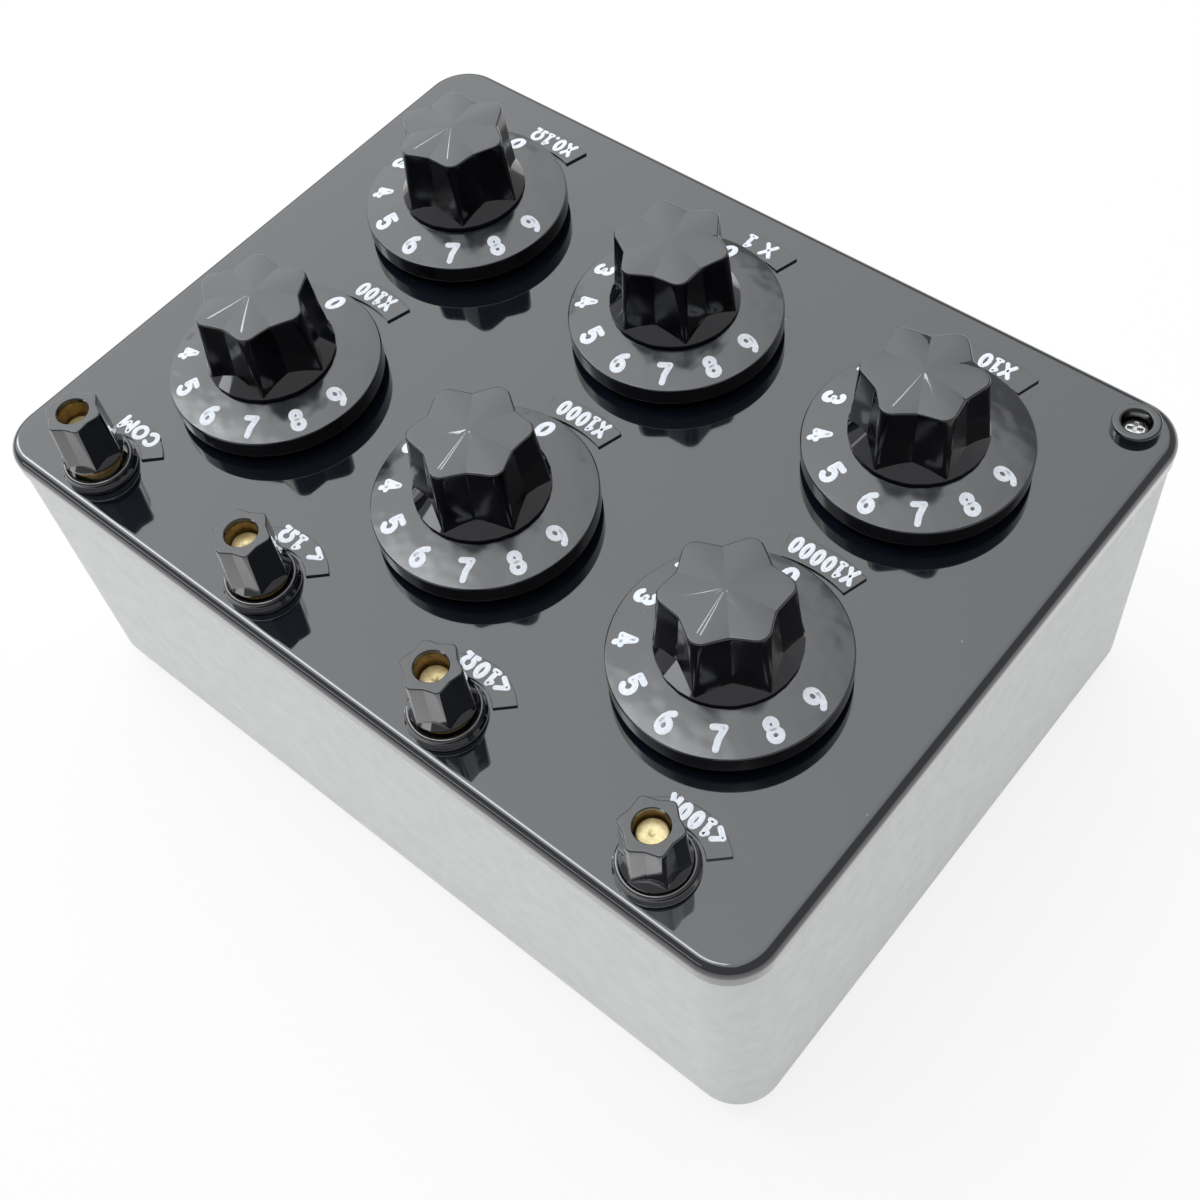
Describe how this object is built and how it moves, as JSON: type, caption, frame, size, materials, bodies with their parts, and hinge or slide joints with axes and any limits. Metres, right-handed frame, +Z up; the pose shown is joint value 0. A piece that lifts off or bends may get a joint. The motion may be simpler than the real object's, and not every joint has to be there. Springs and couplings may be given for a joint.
{
  "type": "decade resistance box",
  "caption": "Bench resistance box: a light metal case with a glossy black panel, turning decade dials with fluted knobs, and fluted screw-down binding posts.",
  "frame": {"origin": "centre of the overall box, at the feet's lower faces", "axes": "+X to the user's right along the long side, +Y away from the user towards the binding posts, +Z up out of the panel"},
  "size_m": [0.166, 0.124, 0.0872],
  "materials": {
    "housing_metal": "light silver grey, matt, faintly mottled",
    "panel_moulding": "polished black moulding with white filled marks",
    "dial_moulding": "polished black moulding with white filled digits",
    "knob_moulding": "polished black moulding",
    "post_moulding": "polished black moulding",
    "post_brass": "turned brass, slightly tarnished",
    "spindle_steel": "turned steel",
    "screw_steel": "plated steel",
    "card_laminate": "brown resin laminate",
    "foot_rubber": "matt black rubber"
  },
  "bodies": {
    "case": {"housing": "housing_metal", "panel": "panel_moulding", "seal_screw": "screw_steel", "resistor_card": "card_laminate", "case_screw_1": "screw_steel", "case_screw_2": "screw_steel", "case_screw_3": "screw_steel", "foot_1": "foot_rubber", "foot_2": "foot_rubber", "foot_3": "foot_rubber", "foot_4": "foot_rubber", "wafer_x10000": "card_laminate", "wafer_x1000": "card_laminate", "wafer_x100": "card_laminate", "wafer_x10": "card_laminate", "wafer_x1": "card_laminate", "wafer_x0_1": "card_laminate", "post_1_collar": "post_moulding", "post_1_stud": "post_brass", "post_2_collar": "post_moulding", "post_2_stud": "post_brass", "post_3_collar": "post_moulding", "post_3_stud": "post_brass", "post_4_collar": "post_moulding", "post_4_stud": "post_brass"},
    "decade_x10000": {"dial_x10000": "dial_moulding", "knob_x10000": "knob_moulding", "shaft_x10000": "spindle_steel", "wiper_x10000": "post_brass"},
    "decade_x1000": {"dial_x1000": "dial_moulding", "knob_x1000": "knob_moulding", "shaft_x1000": "spindle_steel", "wiper_x1000": "post_brass"},
    "decade_x100": {"dial_x100": "dial_moulding", "knob_x100": "knob_moulding", "shaft_x100": "spindle_steel", "wiper_x100": "post_brass"},
    "decade_x10": {"dial_x10": "dial_moulding", "knob_x10": "knob_moulding", "shaft_x10": "spindle_steel", "wiper_x10": "post_brass"},
    "decade_x1": {"dial_x1": "dial_moulding", "knob_x1": "knob_moulding", "shaft_x1": "spindle_steel", "wiper_x1": "post_brass"},
    "decade_x0_1": {"dial_x0_1": "dial_moulding", "knob_x0_1": "knob_moulding", "shaft_x0_1": "spindle_steel", "wiper_x0_1": "post_brass"},
    "post_1_carrier": {"post_1_insert": "post_brass"},
    "post_1_grip": {"post_1_cap": "post_moulding"},
    "post_2_carrier": {"post_2_insert": "post_brass"},
    "post_2_grip": {"post_2_cap": "post_moulding"},
    "post_3_carrier": {"post_3_insert": "post_brass"},
    "post_3_grip": {"post_3_cap": "post_moulding"},
    "post_4_carrier": {"post_4_insert": "post_brass"},
    "post_4_grip": {"post_4_cap": "post_moulding"}
  },
  "joints": [
    {"name": "turn_x10000", "type": "hinge", "parent": "case", "child": "decade_x10000", "pos_m": [-0.05, 0.021, 0.0655], "axis": [0, 0, 1], "range_deg": [-270, 0]},
    {"name": "turn_x1000", "type": "hinge", "parent": "case", "child": "decade_x1000", "pos_m": [0, 0.021, 0.0655], "axis": [0, 0, 1], "range_deg": [-270, 0]},
    {"name": "turn_x100", "type": "hinge", "parent": "case", "child": "decade_x100", "pos_m": [0.05, 0.021, 0.0655], "axis": [0, 0, 1], "range_deg": [-270, 0]},
    {"name": "turn_x10", "type": "hinge", "parent": "case", "child": "decade_x10", "pos_m": [-0.05, -0.029, 0.0655], "axis": [0, 0, 1], "range_deg": [-270, 0]},
    {"name": "turn_x1", "type": "hinge", "parent": "case", "child": "decade_x1", "pos_m": [0, -0.029, 0.0655], "axis": [0, 0, 1], "range_deg": [-270, 0]},
    {"name": "turn_x0_1", "type": "hinge", "parent": "case", "child": "decade_x0_1", "pos_m": [0.05, -0.029, 0.0655], "axis": [0, 0, 1], "range_deg": [-270, 0]},
    {"name": "post_1_lift", "type": "slide", "parent": "case", "child": "post_1_carrier", "axis": [0, 0, 1], "range_m": [-0.0016, 0.0024]},
    {"name": "post_1_screw", "type": "hinge", "parent": "post_1_carrier", "child": "post_1_grip", "pos_m": [0.0619, 0.0535, 0.0655], "axis": [0, 0, 1], "range_deg": [-720, 1080]},
    {"name": "post_2_lift", "type": "slide", "parent": "case", "child": "post_2_carrier", "axis": [0, 0, 1], "range_m": [-0.0008, 0.0032]},
    {"name": "post_2_screw", "type": "hinge", "parent": "post_2_carrier", "child": "post_2_grip", "pos_m": [0.02063, 0.0535, 0.0655], "axis": [0, 0, 1], "range_deg": [-360, 1440]},
    {"name": "post_3_lift", "type": "slide", "parent": "case", "child": "post_3_carrier", "axis": [0, 0, 1], "range_m": [-0.0012, 0.0028]},
    {"name": "post_3_screw", "type": "hinge", "parent": "post_3_carrier", "child": "post_3_grip", "pos_m": [-0.02063, 0.0535, 0.0655], "axis": [0, 0, 1], "range_deg": [-540, 1260]},
    {"name": "post_4_lift", "type": "slide", "parent": "case", "child": "post_4_carrier", "axis": [0, 0, 1], "range_m": [0, 0.004]},
    {"name": "post_4_screw", "type": "hinge", "parent": "post_4_carrier", "child": "post_4_grip", "pos_m": [-0.0619, 0.0535, 0.0655], "axis": [0, 0, 1], "range_deg": [0, 1800]}
  ],
  "couplings": [
    {"joint": "post_1_screw", "follows": "post_1_lift", "rad_per_m": 7854},
    {"joint": "post_2_screw", "follows": "post_2_lift", "rad_per_m": 7854},
    {"joint": "post_3_screw", "follows": "post_3_lift", "rad_per_m": 7854},
    {"joint": "post_4_screw", "follows": "post_4_lift", "rad_per_m": 7854}
  ]
}
